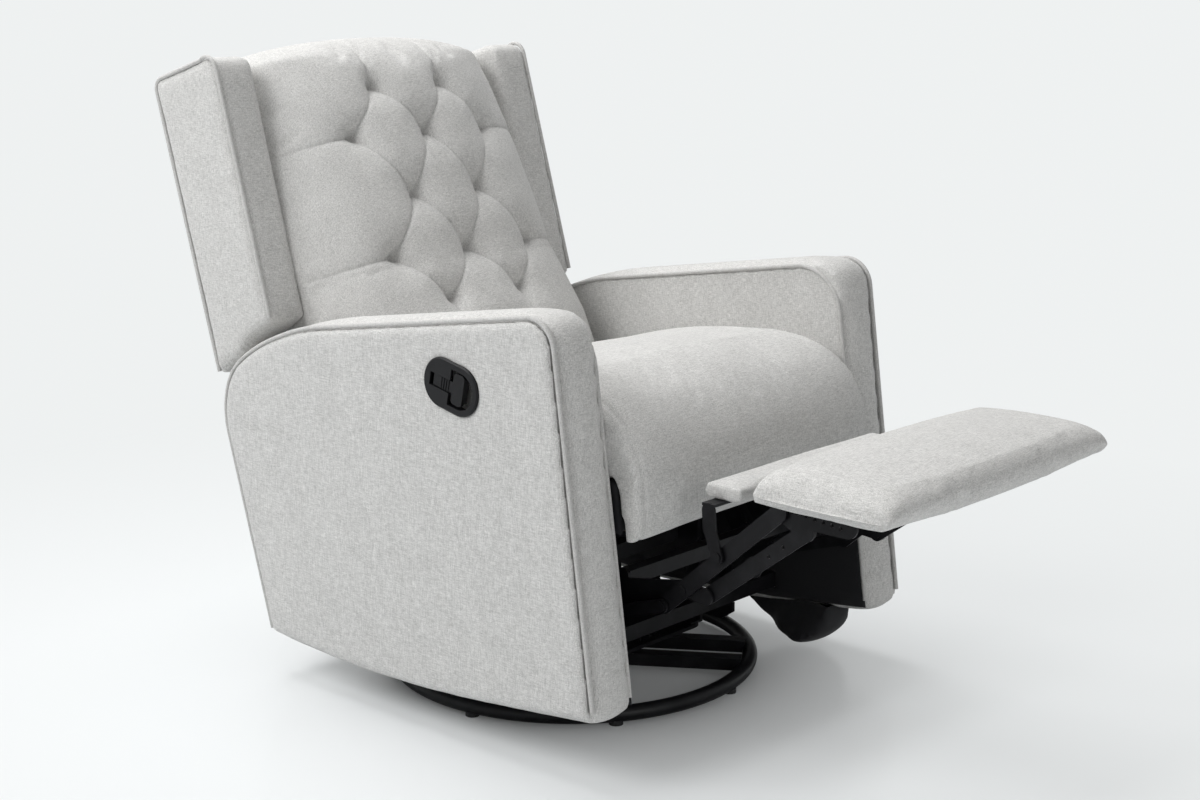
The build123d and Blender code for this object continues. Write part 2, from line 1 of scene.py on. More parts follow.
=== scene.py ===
# %% [markdown]
# # A swivel glider recliner, upholstered in grey linen
# The engineering model comes first: every steel strap, tube and board is already drawn and can
# already move. This script dresses it. It loads that frame, keeps each rigid part where it is and
# gives it a proper finish, and builds the soft parts again as cushions, panels, welts and cloth.

# %% Load the frame
import bpy
import bmesh
import json
import math
from mathutils import Matrix, Vector


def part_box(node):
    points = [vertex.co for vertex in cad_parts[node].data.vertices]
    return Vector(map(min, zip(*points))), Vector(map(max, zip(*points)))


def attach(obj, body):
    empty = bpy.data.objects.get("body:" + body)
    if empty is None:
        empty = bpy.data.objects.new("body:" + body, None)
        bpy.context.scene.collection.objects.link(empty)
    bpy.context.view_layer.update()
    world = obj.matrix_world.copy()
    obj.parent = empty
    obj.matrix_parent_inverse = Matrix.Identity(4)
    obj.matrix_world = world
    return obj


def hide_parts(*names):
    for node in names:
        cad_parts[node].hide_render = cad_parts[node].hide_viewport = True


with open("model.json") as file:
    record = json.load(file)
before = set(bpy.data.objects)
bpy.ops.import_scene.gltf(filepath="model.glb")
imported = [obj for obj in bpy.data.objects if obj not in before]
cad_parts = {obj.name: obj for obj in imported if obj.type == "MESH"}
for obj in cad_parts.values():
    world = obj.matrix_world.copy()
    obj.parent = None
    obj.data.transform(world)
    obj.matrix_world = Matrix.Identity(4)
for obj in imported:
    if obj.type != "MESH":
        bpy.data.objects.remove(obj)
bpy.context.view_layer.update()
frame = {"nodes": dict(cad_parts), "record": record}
nodes = frame["nodes"]
scene = bpy.context.scene

# %% [markdown]
# ## Two drawing boards
# The whole body of the chair leans back on its glide rails, and the back leans back again on the
# seat. Each soft piece could be drawn in its tilted place, but upholstery is easiest to draw
# square. So two matrices turn a square drawing into its place: one for the body, and one for the
# back, where y = 0 is the rear face and z runs up it.

# %% Places
BODY_LEAN = 8.0
BACK_LEAN = 10.3
BACK_FOOT = (0, 0.376, 0.530)
LEVEL = Matrix.Rotation(math.radians(-BODY_LEAN), 4, "X")
TILT = Matrix.Rotation(math.radians(-BACK_LEAN), 4, "X")
BACK = LEVEL @ Matrix.Translation(BACK_FOOT) @ TILT
print("the body leans", BODY_LEAN, "degrees, the back", BACK_LEAN, "more")

# %% [markdown]
# ## Camera
# A wide lens close by would stretch the footrest. A long lens from further away keeps the arms
# nearly parallel. It looks from the front left, a little above the arms, so the tufted back, the
# seat and the linkage under the footrest can all be seen.

# %% Camera
camera_data = bpy.data.cameras.new("camera")
camera_data.lens = 58.2
camera_data.sensor_width = 36.0
camera = bpy.data.objects.new("camera", camera_data)
scene.collection.objects.link(camera)
camera.location = (-2.223, -2.096, 1.134)
target = Vector((0, -0.0593, 0.450))
camera.rotation_euler = (target - camera.location).to_track_quat("-Z", "Y").to_euler()
scene.camera = camera
scene.view_settings.view_transform = "Standard"
print("camera looks from", tuple(round(c, 2) for c in camera.location))

# %% [markdown]
# ## Helpers for node materials
# Every finish here is a Principled shader with a few textures in front of it. The nodes could be
# made one line at a time, but a recipe then fills a page. A tiny function that adds a node, sets
# its fields and plugs in its sockets keeps each recipe readable.


# %% Material helpers
def add(tree, kind, links=None, **fields):
    """Adds a node. Fields are set on the node or, failing that, on the socket of that name."""
    node = tree.nodes.new("ShaderNode" + kind)
    for key, value in fields.items():
        name = key.replace("_", " ")
        if hasattr(node, key):
            setattr(node, key, value)
        else:
            node.inputs[name.title() if name.title() in node.inputs else name].default_value = value
    for socket, source in (links or {}).items():
        tree.links.new(source, node.inputs[socket])
    return node


def combine(tree, operation, first, second):
    """Joins two values by a sum, a product or the larger of them."""
    return add(tree, "Math", {0: first, 1: second}, operation=operation).outputs[0]


def new_material(name, colour, roughness, **sockets):
    """A material with its Principled shader, whose plain sockets are set by name."""
    material = bpy.data.materials.new(name)
    material.use_nodes = True
    tree = material.node_tree
    shader = tree.nodes["Principled BSDF"]
    shader.inputs["Base Color"].default_value = (*colour, 1)
    shader.inputs["Roughness"].default_value = roughness
    for key, value in sockets.items():
        shader.inputs[key.replace("_", " ")].default_value = value
    return material, tree, shader


def mix_colours(tree, factor, low, high):
    """Blends two colours by a value."""
    ramp = add(tree, "ValToRGB", {"Fac": factor})
    ramp.color_ramp.elements[0].color = (*low, 1)
    ramp.color_ramp.elements[1].color = (*high, 1)
    return ramp


print("material helpers: add, combine, new_material, mix_colours")

# %% [markdown]
# ## Linen
# The cover is a heathered plain weave: two sets of threads cross, each a little uneven in tone and
# thickness. A picture of cloth would need an unwrapped surface, so the weave is made by rule
# instead. Long thin noise makes the slubs, once along each axis, so that on any face two of the
# three run as warp and weft. Three fine sets of bands do the same for the bump of the weave.

# %% Linen finish
SLUB_SCALES = ((780, 780, 95), (780, 95, 780), (95, 780, 780))
BLOTCH_SHARE = 0.16
TONE_RANGE = (1.08, 2.08)


def linen(name, colour, slub=0.44, weave=0.0003):
    """Heathered plain weave in one tone."""
    material, tree, shader = new_material(name, colour, 0.92, Sheen_Weight=0.18,
                                          Sheen_Roughness=0.5, Specular_IOR_Level=0.25)
    where = add(tree, "TexCoord").outputs["Object"]
    total = None
    for scale in SLUB_SCALES:
        stretched = add(tree, "Mapping", {"Vector": where})
        stretched.inputs["Scale"].default_value = scale
        slubs = add(tree, "TexNoise", {"Vector": stretched.outputs[0]}, Scale=1.0, Detail=2.0,
                    Roughness=0.7)
        if total is None:
            total = slubs.outputs["Fac"]
        else:
            total = combine(tree, "ADD", total, slubs.outputs["Fac"])
    blotch = add(tree, "TexNoise", {"Vector": where}, Scale=30.0, Detail=2.0, Roughness=0.5)
    blotched = add(tree, "Math", {0: blotch.outputs["Fac"], 2: total}, operation="MULTIPLY_ADD")
    blotched.inputs[1].default_value = BLOTCH_SHARE
    span = add(tree, "MapRange", {"Value": blotched.outputs[0]})
    span.inputs["From Min"].default_value = TONE_RANGE[0]
    span.inputs["From Max"].default_value = TONE_RANGE[1]
    low = [c * (1 - slub) for c in colour]
    high = [min(1.0, c * (1 + slub)) for c in colour]
    tone = mix_colours(tree, span.outputs[0], low, high)
    tree.links.new(tone.outputs[0], shader.inputs["Base Color"])
    threads = None
    for direction in "XYZ":
        bands = add(tree, "TexWave", {"Vector": where}, bands_direction=direction, Scale=205.0,
                    Distortion=1.4, Detail=2.0)
        bands.inputs["Detail Scale"].default_value = 1.2
        if threads is None:
            threads = bands.outputs["Fac"]
        else:
            threads = combine(tree, "ADD", threads, bands.outputs["Fac"])
    relief = combine(tree, "ADD", threads, total)
    bump = add(tree, "Bump", {"Height": relief}, Strength=0.55, Distance=weave)
    tree.links.new(bump.outputs[0], shader.inputs["Normal"])
    return material


LINEN = linen("linen", (0.60, 0.595, 0.580))
LINEN_SIDE = linen("linen_side", (0.586, 0.582, 0.569))
# The piping's tone is darker than the cover's. This is painted shade, standing in for the shadow
# along the welts' seams.
LINEN_WELT_SEAM_SHADED = linen("linen_piping", (0.53, 0.525, 0.513), slub=0.30, weave=0.0002)
print("linen in three tones:", LINEN.name, LINEN_SIDE.name, LINEN_WELT_SEAM_SHADED.name)

# %% [markdown]
# ## Black cloth
# Under a chair the covers end in thin black non-woven cloth. It has no threads to draw, so one fine
# noise serves as its fibres, in the tone and in the bump. It is nearly matt, and the mottling only
# shows where light grazes it.

# %% Black cloth finish
BLACK_CLOTH, tree, shader = new_material("black_cloth", (0.010, 0.010, 0.012), 0.85,
                                         Sheen_Weight=0.12, Sheen_Roughness=0.4,
                                         Specular_IOR_Level=0.3)
where = add(tree, "TexCoord").outputs["Object"]
fibres = add(tree, "TexNoise", {"Vector": where}, Scale=420.0, Detail=5.0, Roughness=0.7)
cloth_tone = mix_colours(tree, fibres.outputs["Fac"], (0.006, 0.006, 0.008), (0.018, 0.018, 0.020))
tree.links.new(cloth_tone.outputs[0], shader.inputs["Base Color"])
cloth_bump = add(tree, "Bump", {"Height": fibres.outputs["Fac"]}, Strength=0.5, Distance=0.0003)
tree.links.new(cloth_bump.outputs[0], shader.inputs["Normal"])
print("black cloth ready")

# %% [markdown]
# ## Steel, plastic and plywood
# Powder-coated steel has an orange-peel skin and paler, smoother rub marks. Zinc plating is
# brushed and a little blotchy. The handle is moulded with a fine spark grain. The foot glides are
# hard and slightly scuffed. All four are one recipe with other numbers, so one function makes
# them. Plywood shows long grain on its faces and needs its own.


# %% Rigid finishes
def skin(name, colour, roughness, grain, depth, wear, **sockets):
    """A paint or plastic skin: grain bump, uneven gloss and faint wear in the tone."""
    material, tree, shader = new_material(name, colour, roughness, **sockets)
    where = add(tree, "TexCoord").outputs["Object"]
    fine = add(tree, "TexNoise", {"Vector": where}, Scale=grain, Detail=3.0, Roughness=0.6)
    broad = add(tree, "TexNoise", {"Vector": where}, Scale=28.0, Detail=4.0, Roughness=0.65)
    worn = [min(1.0, c * (1 + wear) + 0.002 * wear) for c in colour]
    tone = mix_colours(tree, broad.outputs["Fac"], colour, worn)
    tone.color_ramp.elements[0].position = 0.45
    tone.color_ramp.elements[1].position = 0.75
    tree.links.new(tone.outputs[0], shader.inputs["Base Color"])
    gloss = add(tree, "MapRange", {"Value": broad.outputs["Fac"]})
    gloss.inputs["To Min"].default_value = roughness - 0.07
    gloss.inputs["To Max"].default_value = roughness + 0.10
    tree.links.new(gloss.outputs[0], shader.inputs["Roughness"])
    bump = add(tree, "Bump", {"Height": fine.outputs["Fac"]}, Strength=0.4, Distance=depth)
    tree.links.new(bump.outputs[0], shader.inputs["Normal"])
    return material


BLACK_STEEL = skin("black_steel", (0.007, 0.007, 0.008), 0.34, 520.0, 0.0002, 0.8,
                   Specular_IOR_Level=0.13)
ZINC_STEEL = skin("zinc_steel", (0.56, 0.57, 0.60), 0.34, 900.0, 0.0001, -0.25, Metallic=1.0)
BLACK_PLASTIC = skin("black_plastic", (0.006, 0.006, 0.007), 0.36, 1500.0, 0.00012, 0.4,
                     Specular_IOR_Level=0.2)
FOOT_PLASTIC = skin("foot_plastic", (0.008, 0.008, 0.009), 0.55, 700.0, 0.0002, 1.0,
                    Specular_IOR_Level=0.3)


def plywood(name):
    """Rotary-cut veneer: long wavy grain along X, with a fine pore bump, in tones kept dark as
    painted shade.
    """
    material, tree, shader = new_material(name, (0.20, 0.14, 0.09), 0.7)
    where = add(tree, "TexCoord").outputs["Object"]
    stretched = add(tree, "Mapping", {"Vector": where})
    stretched.inputs["Scale"].default_value = (4, 26, 26)
    grain = add(tree, "TexNoise", {"Vector": stretched.outputs[0]}, Scale=1.6, Detail=6.0,
                Roughness=0.65)
    grain.inputs["Distortion"].default_value = 1.4
    # Both grain tones are darker than real plywood. This is painted shade, so that glimpses of the
    # hidden frame read as shadow.
    tone = mix_colours(tree, grain.outputs["Fac"], (0.12, 0.078, 0.045), (0.25, 0.17, 0.105))
    tree.links.new(tone.outputs[0], shader.inputs["Base Color"])
    bump = add(tree, "Bump", {"Height": grain.outputs["Fac"]}, Strength=0.3, Distance=0.0006)
    tree.links.new(bump.outputs[0], shader.inputs["Normal"])
    return material


PLYWOOD_DARKENED_AS_SHADE = plywood("plywood")
FINISH = {"linen": LINEN, "linen_side": LINEN_SIDE, "linen_piping": LINEN_WELT_SEAM_SHADED,
          "black_cloth": BLACK_CLOTH, "black_steel": BLACK_STEEL, "zinc_steel": ZINC_STEEL,
          "black_plastic": BLACK_PLASTIC, "foot_plastic": FOOT_PLASTIC, "plywood": PLYWOOD_DARKENED_AS_SHADE}
print("finishes:", ", ".join(FINISH))

# %% [markdown]
# ## Finish the rigid parts
# Dressing dozens of parts by hand invites mistakes. The record says which finish each part takes,
# so one loop dresses all the steel, zinc, plastic and wood.

# %% Dress the rigid parts
SLOT_OF = {part["node"]: part["material_slot"] for part in frame["record"]["subparts"]}
for name, node in nodes.items():
    node.data.materials.clear()
    node.data.materials.append(FINISH[SLOT_OF[name]])
print("dressed", len(SLOT_OF), "nodes")

# %% [markdown]
# ## Tools for soft pieces
# A soft piece could be sculpted by hand, but a rule can be run again and gives the same shape.
# Each starts as a clean closed shell: a copy of the frame's solid, or a grid bent to its form. A
# voxel remesh gives it even squares. Cloth with air pressure swells it as foam swells a cover, and
# how far each point may move is capped. One subdivision then smooths it.


# %% Make and finish a piece
def finish_piece(piece, body, slot, hides=()):
    """Hooks a finished piece to its body, its finish and the nodes that it stands for."""
    piece.data.materials.clear()
    piece.data.materials.append(FINISH[slot])
    for face in piece.data.polygons:
        face.use_smooth = True
    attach(piece, body)
    if hides:
        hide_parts(*hides)
    print(piece.name, "has", len(piece.data.polygons), "faces")
    return piece


def piece_from(bm, name, place=None):
    """Turns a bmesh into an object whose place is in its mesh."""
    if place is not None:
        bm.transform(place)
    mesh = bpy.data.meshes.new(name)
    bm.to_mesh(mesh)
    bm.free()
    piece = bpy.data.objects.new(name, mesh)
    scene.collection.objects.link(piece)
    return piece


def copy_of(node_name, name):
    """A merged copy of a node's solid, ready to be remeshed."""
    bm = bmesh.new()
    bm.from_mesh(nodes[node_name].data)
    bmesh.ops.remove_doubles(bm, verts=bm.verts, dist=0.00005)
    return piece_from(bm, name)


print("tools: finish_piece, piece_from, copy_of")


# %% Even squares
def applied(piece):
    """Bakes a piece's modifiers into its mesh."""
    depsgraph = bpy.context.evaluated_depsgraph_get()
    mesh = bpy.data.meshes.new_from_object(piece.evaluated_get(depsgraph))
    piece.modifiers.clear()
    old = piece.data
    piece.data = mesh
    bpy.data.meshes.remove(old)
    return piece


def largest_shell(bm):
    """Keeps the outer shell and drops any closed pocket inside it."""
    left = set(bm.verts)
    shells = []
    while left:
        stack = [left.pop()]
        shell = set(stack)
        while stack:
            for edge in stack.pop().link_edges:
                for vert in edge.verts:
                    if vert in left:
                        left.discard(vert)
                        shell.add(vert)
                        stack.append(vert)
        shells.append(shell)
    keep = max(shells, key=len)
    bmesh.ops.delete(bm, geom=[v for v in bm.verts if v not in keep], context="VERTS")


def remesh(piece, voxel, passes=1):
    """Even squares all over, and the outer shell only. More passes round the edges more."""
    modifier = piece.modifiers.new("remesh", "REMESH")
    modifier.mode = "VOXEL"
    modifier.voxel_size = voxel
    modifier.adaptivity = 0.0
    applied(piece)
    bm = bmesh.new()
    bm.from_mesh(piece.data)
    largest_shell(bm)
    for _ in range(passes):
        bmesh.ops.smooth_vert(bm, verts=bm.verts, factor=0.5, use_axis_x=True, use_axis_y=True,
                              use_axis_z=True)
    bm.to_mesh(piece.data)
    bm.free()
    return piece


print("tools: applied, largest_shell, remesh")


# %% Air pressure and smoothing
def puff(piece, cap, pressure=4.0, frames=20):
    """Swells the shell with air, without gravity, and lets no point move further than cap."""
    before = [v.co.copy() for v in piece.data.vertices]
    cloth = piece.modifiers.new("air", "CLOTH")
    cloth.settings.quality = 5
    cloth.settings.mass = 0.3
    cloth.settings.use_pressure = True
    cloth.settings.uniform_pressure_force = pressure
    cloth.settings.effector_weights.gravity = 0
    cloth.collision_settings.use_collision = False
    cloth.point_cache.frame_start = 1
    cloth.point_cache.frame_end = frames
    for step in range(1, frames + 1):
        scene.frame_set(step)
    depsgraph = bpy.context.evaluated_depsgraph_get()
    after = [v.co.copy() for v in piece.evaluated_get(depsgraph).data.vertices]
    piece.modifiers.remove(cloth)
    scene.frame_set(1)
    for vert, old, new in zip(piece.data.vertices, before, after):
        move = new - old
        if move.length > cap:
            move.length = cap
        vert.co = old + move
    return piece


def subdivide(piece, levels=1):
    """Smooths the shell once, and bakes it."""
    modifier = piece.modifiers.new("smooth", "SUBSURF")
    modifier.levels = levels
    modifier.render_levels = levels
    return applied(piece)


print("tools: puff, subdivide")


# %% Shape by a rule
def shape(piece, place, move):
    """Moves each vertex by a rule on a drawing board: move(point, normal) gives the new point."""
    back = place.inverted()
    turn = place.to_3x3().inverted()
    normals = [turn @ v.normal for v in piece.data.vertices]
    for vert, normal in zip(piece.data.vertices, normals):
        vert.co = place @ move(back @ vert.co, normal)
    piece.data.update()
    return piece


def ease(value, low, high):
    """0 below low, 1 above high, smooth between."""
    t = min(1.0, max(0.0, (value - low) / (high - low)))
    return t * t * (3 - 2 * t)


print("tools: shape, ease")

# %% [markdown]
# ## Cords for welts
# A welt is a cord in a bias-cut sleeve, sewn into the seam. A row of small cylinders would show its
# joints, so a curve with a round bevel follows the seam line. It becomes a mesh at the end, so that
# its place is in its mesh.


# %% Cord tool
def tube(name, runs, radius, place=None, sides=3):
    """A tube along each run of points, as one mesh."""
    curve = bpy.data.curves.new(name, "CURVE")
    curve.dimensions = "3D"
    curve.bevel_depth = radius
    curve.bevel_resolution = sides
    curve.use_fill_caps = True
    for run in runs:
        spline = curve.splines.new("POLY")
        spline.points.add(len(run) - 1)
        for point, place_of in zip(spline.points, run):
            point.co = (*place_of, 1)
    holder = bpy.data.objects.new(name, curve)
    scene.collection.objects.link(holder)
    depsgraph = bpy.context.evaluated_depsgraph_get()
    mesh = bpy.data.meshes.new_from_object(holder.evaluated_get(depsgraph))
    bpy.data.objects.remove(holder)
    if place is not None:
        mesh.transform(place)
    piece = bpy.data.objects.new(name, mesh)
    scene.collection.objects.link(piece)
    return piece


def arc_on(run, end, steps=12):
    """Continues a run of (y, z) points with a round arc that leaves it smoothly and ends at end."""
    p, q = Vector(run[-1]), Vector(end)
    heading = (p - Vector(run[-2])).normalized()
    across = Vector((-heading.y, heading.x))
    chord = q - p
    radius = chord.dot(chord) / (2 * across.dot(chord))
    centre = p + across * radius
    start = math.atan2(p.y - centre.y, p.x - centre.x)
    stop = math.atan2(q.y - centre.y, q.x - centre.x)
    turn = (stop - start) % (2 * math.pi)
    if radius < 0:
        turn -= 2 * math.pi
    for k in range(1, steps + 1):
        angle = start + turn * k / steps
        run.append((centre.x + abs(radius) * math.cos(angle),
                    centre.y + abs(radius) * math.sin(angle)))
    return run


print("tools: tube, arc_on")

# %% [markdown]
# ## Back cushion
# The back is one deep cushion. Its front bulges towards the sitter, and its top rolls back over the
# board. A remeshed block would have its squares askew to the tufts, so two flat grids are bridged
# into a closed shell and bent to the cushion's form, with a few stations up its height.

# %% Back cushion shell
# Each station holds its height, the y of the crown, the y of the edge and the half width.
STATIONS = [(-0.095, -0.292, -0.252, 0.267), (-0.020, -0.300, -0.240, 0.267),
            (0.100, -0.262, -0.208, 0.266), (0.210, -0.246, -0.188, 0.266),
            (0.325, -0.226, -0.164, 0.266), (0.420, -0.208, -0.138, 0.264),
            (0.480, -0.188, -0.124, 0.258), (0.512, -0.132, -0.104, 0.236)]
BOTTOM = STATIONS[0][0]
RISE = 0.613
SIDE_ROLL, TOP_ROLL = 0.030, 0.045
BOARD_FACE, BOARD_THICK = -0.044, 0.0355
OVER_BOARD = 0.2665


def station(w):
    """Crown, edge and half width of the cushion at height w."""
    if w <= STATIONS[0][0]:
        return STATIONS[0][1:]
    for low, high in zip(STATIONS, STATIONS[1:]):
        if w <= high[0]:
            t = (w - low[0]) / (high[0] - low[0])
            return [a + (b - a) * t for a, b in zip(low[1:], high[1:])]
    return STATIONS[-1][1:]


def back_shell(name):
    """Two grids, front and rear, bridged round their edges and bent to the cushion's form."""
    bm = bmesh.new()
    loops = []
    for depth in (0.0, 1.0):
        made = bmesh.ops.create_grid(bm, x_segments=118, y_segments=130, size=1.0,
                                     matrix=Matrix.Translation((0, 0, depth)))
        verts = set(made["verts"])
        loops += [e for e in bm.edges if e.is_boundary and e.verts[0] in verts]
    bridged = bmesh.ops.bridge_loops(bm, edges=loops)
    across = [e for e in bridged["edges"] if abs(e.verts[0].co.z - e.verts[1].co.z) > 0.5]
    bmesh.ops.subdivide_edges(bm, edges=across, cuts=28, use_grid_fill=True)
    for vert in bm.verts:
        u, v, t = vert.co
        rise = (v + 1) / 2
        w = BOTTOM + rise * RISE - 0.016 * rise ** 6 * abs(u) ** 3
        crown, edge, half = station(w)
        rim = max(0.0, (abs(u) - 0.80) / 0.20)
        top = max(0.0, (v - 0.86) / 0.14)
        front = crown + (edge - crown) * abs(u) ** 2.6
        front += SIDE_ROLL * (1 - math.sqrt(max(0.0, 1 - rim * rim)))
        front += TOP_ROLL * (1 - math.sqrt(max(0.0, 1 - top * top)))
        wrapped = ease(abs(u), 0.984, 0.999) * max(1 - ease(w, 0.004, 0.010), ease(w, 0.462, 0.472))
        rear = BOARD_FACE + BOARD_THICK * max(wrapped, ease(w, 0.487, 0.492))
        pinch = 1.0 - 0.008 * math.sin(math.pi * min(1.0, max(0.0, t)))
        spread = (OVER_BOARD - half) * ease(w, 0.450, 0.462) * (1 - ease(t, 0.10, 0.45))
        vert.co = ((half + spread) * u * pinch, rear + (front - rear) * t, w)
    bmesh.ops.recalc_face_normals(bm, faces=bm.faces)
    if bm.calc_volume(signed=True) < 0:
        bmesh.ops.reverse_faces(bm, faces=bm.faces)
    return piece_from(bm, name, BACK)


back_cover = back_shell("back_cushion_cover")
print("back shell", len(back_cover.data.vertices), "points")

# %% [markdown]
# ## Tufts and pleats
# The cover is pulled down at twelve points, and the spare cloth between them folds into pleats that
# run from each tuft to its neighbours and out to the edges. Cloth pinned at the tufts would fold in
# its own way each time a number changes, so the plain cushion is swelled first, then the folds are
# pressed in by rule: a pleat is a sharp valley, shallow half way and deep near the tufts.

# %% Where the tufts are
TUFT_ROWS = [[(-0.075, 0.416), (0.075, 0.416)],
             [(-0.146, 0.331), (0.0, 0.331), (0.146, 0.331)],
             [(-0.072, 0.224), (0.072, 0.224)],
             [(-0.152, 0.122), (0.0, 0.122), (0.152, 0.122)],
             [(-0.078, 0.038), (0.078, 0.038)]]
TUFTS = [Vector(t) for row in TUFT_ROWS for t in row]
PLEATS = []
for upper, lower in zip(TUFT_ROWS, TUFT_ROWS[1:]):
    for a in upper:
        for b in lower:
            if abs(a[0] - b[0]) < 0.1:
                PLEATS.append((Vector(a), Vector(b), 1.0))
for a in TUFT_ROWS[0]:
    PLEATS.append((Vector(a), Vector((a[0] * 1.03, 0.54)), 1.0))
for row in (1, 3):
    for a in (TUFT_ROWS[row][0], TUFT_ROWS[row][-1]):
        PLEATS.append((Vector(a), Vector((math.copysign(0.275, a[0]), a[1] - 0.012)), 0.8))
for a in TUFT_ROWS[4]:
    PLEATS.append((Vector(a), Vector((a[0], -0.06)), 0.7))
print(len(TUFTS), "tufts and", len(PLEATS), "pleats")


# %% Press the back cushion
BOARD_FRONT, BOARD_REAR = -0.0425, -0.0085
BOARD_HALF, BOARD_TOP = 0.2625, 0.487
PLEAT_DEPTH = 0.0040
TUFT_DEPTH = 0.0175
TUFT_DISH = 0.0060


def pressed(x, w):
    """How deep the cover lies below the plain cushion at a point of its front."""
    point = Vector((x, w))
    depth = 0.0
    for a, b, weight in PLEATS:
        line = b - a
        along = max(0.0, min(1.0, (point - a).dot(line) / line.dot(line)))
        gap = (point - (a + line * along)).length
        if gap > 0.09:
            continue
        ends = min(along, 1 - along) if weight == 1.0 and b.y < 0.5 else along
        near = 1 - ease(ends * line.length, 0.0, 0.050)
        fold = weight * (PLEAT_DEPTH + 0.0050 * near) * math.exp(-gap / (0.0026 + 0.0030 * near))
        hollow = weight * (0.0022 + 0.0026 * near) * math.exp(-(gap / 0.016) ** 2)
        depth = max(depth, fold + hollow)
    for tuft in TUFTS:
        r = (point - tuft).length
        if r < 0.08:
            depth += TUFT_DEPTH * math.exp(-(r / 0.0105) ** 1.4)
            depth += TUFT_DISH * math.exp(-(r / 0.030) ** 2)
    return depth


def pillow(x, w):
    """The diamonds between the pleats stand proud a little."""
    nearest = min((Vector((x, w)) - t).length for t in TUFTS)
    return 0.003 * ease(nearest, 0.02, 0.08)


def tufted(point, normal):
    """Presses the pleats and tufts into the front, and lays the rear on the board."""
    rear = BOARD_FRONT if point.z < BOARD_TOP and abs(point.x) < BOARD_HALF else BOARD_REAR
    point = Vector((point.x, min(rear, point.y), point.z))
    facing = ease(-normal.y, 0.05, 0.45)
    if facing <= 0:
        return point
    move = pressed(point.x, point.z) - pillow(point.x, point.z)
    return Vector((point.x, point.y + facing * move, point.z))


puff(back_cover, 0.012, pressure=3.0, frames=14)
subdivide(back_cover)
shape(back_cover, BACK, tufted)
finish_piece(back_cover, "back", "linen", ["back_cushion"])

# %% [markdown]
# ## Wings and the outer back
# Each wing is a padded board beside the cushion. Its outer face is flat, its front edge is a soft
# band, and its cover is gathered under the bottom. The outer back is a plain panel. Their solids
# already have the right outline, so remeshed copies only need rounding and a little air.

# %% Wings
SIDES = (("left", 1), ("right", -1))
WING_TOP = Vector((-0.006, 0.478))
WING_CORNER = 0.020
WING_LIFT = 0.014


def gathered(point, normal):
    """Puckers the bottom of a wing, and lifts its front so that it clears the arm."""
    lift = WING_LIFT * ease(-point.y, 0.035, 0.085) * (1 - ease(point.z, 0.052, 0.094))
    low = 1 - ease(point.z, -0.005, 0.060)
    off = Vector((point.y, point.z)) - WING_TOP
    if off.x > 0 and off.y > 0 and off.length > WING_CORNER:
        corner = WING_TOP + off * (WING_CORNER / off.length)
        point = Vector((point.x, *corner))
    pucker = 0.0016 * low * math.sin(point.y * 520 + 3 * math.sin(point.y * 90))
    return point + normal * pucker + Vector((0, 0, lift))


for side, _ in SIDES:
    wing = copy_of(f"back_wing_{side}", f"back_wing_{side}_cover")
    remesh(wing, 0.006, passes=4)
    puff(wing, 0.0015, pressure=3.0, frames=6)
    subdivide(wing)
    shape(wing, BACK, gathered)
    finish_piece(wing, "back", "linen", [f"back_wing_{side}"])

outer_back = copy_of("back_panel", "back_panel_cover")
remesh(outer_back, 0.007)
finish_piece(outer_back, "back", "linen_side", ["back_panel"])

# %% [markdown]
# ## Wing welts
# A welt closes each wing's outer face: up the front edge, over the top and down the rear edge. It
# is drawn from its corner points with round arcs between them, rather than point by point.

# %% Wing welts
WING_WELT_X = 0.3454
WING_WELT_RADIUS = 0.0034

for side, sign in SIDES:
    run = [(-0.1400, 0.0680), (-0.1542, 0.4698)]
    arc_on(run, (-0.120, 0.4925), 8)
    run.append((-0.006, 0.4960))
    arc_on(run, (0.0125, 0.4780), 8)
    run.append((0.0235, 0.0100))
    points = [(sign * WING_WELT_X, y, z) for y, z in run]
    welt = tube(f"wing_welt_{side}", [points], WING_WELT_RADIUS, BACK)
    finish_piece(welt, "back", "linen_piping", [f"wing_piping_{side}"])

# %% [markdown]
# ## Arms
# An arm is a plywood panel wrapped in thin foam. The outer panel is flat cloth, and a band runs up
# the front and back over the top between two welts. The welts must follow the edge of the padding
# closely. Points read by eye would never agree, so one function makes the shoulder fuller, and
# both the padding and the welts go through it.

# %% Arm outline
SHOULDER_Y, SHOULDER_Z = 0.315, 0.535
SHOULDER_REACH = 0.15
SHOULDER_PUSH = 0.0065


def fuller(y, z):
    """The shoulder of the arm stands a little fuller than the board inside it."""
    gap = math.hypot(y - SHOULDER_Y, z - SHOULDER_Z)
    push = SHOULDER_PUSH * max(0.0, 1 - (gap / SHOULDER_REACH) ** 2) ** 2
    return y + 0.55 * push, z + 0.83 * push


def arm_run(inset, nose):
    """The arm's edge from the front hem over the top to the rear hem.

    It is drawn in by inset, and by more of it in front. The nose is the radius of the front corner.
    """
    front = -0.398 + 2.5 * inset
    top = 0.615 - inset
    run = [(front, 0.062), (front, top - nose)]
    arc_on(run, (front + nose, top), 10)
    run.append((0.100, 0.608 - inset))
    arc_on(run, (0.300 - 0.3 * inset, 0.553 - inset), 12)
    arc_on(run, (0.359 - inset, 0.440), 10)
    run.append((0.309 - inset, 0.118))
    return [fuller(y, z) for y, z in run]


print("arm edge of", len(arm_run(0.0, 0.045)), "points")

# %% Arm pads and panels
BAND_INNER, BAND_OUTER = 0.2884, 0.3720
BAND_MIDDLE = 0.331
INNER_WELT_X, OUTER_WELT_X = 0.2884, 0.3712
ARM_WELT_RADIUS = 0.0035


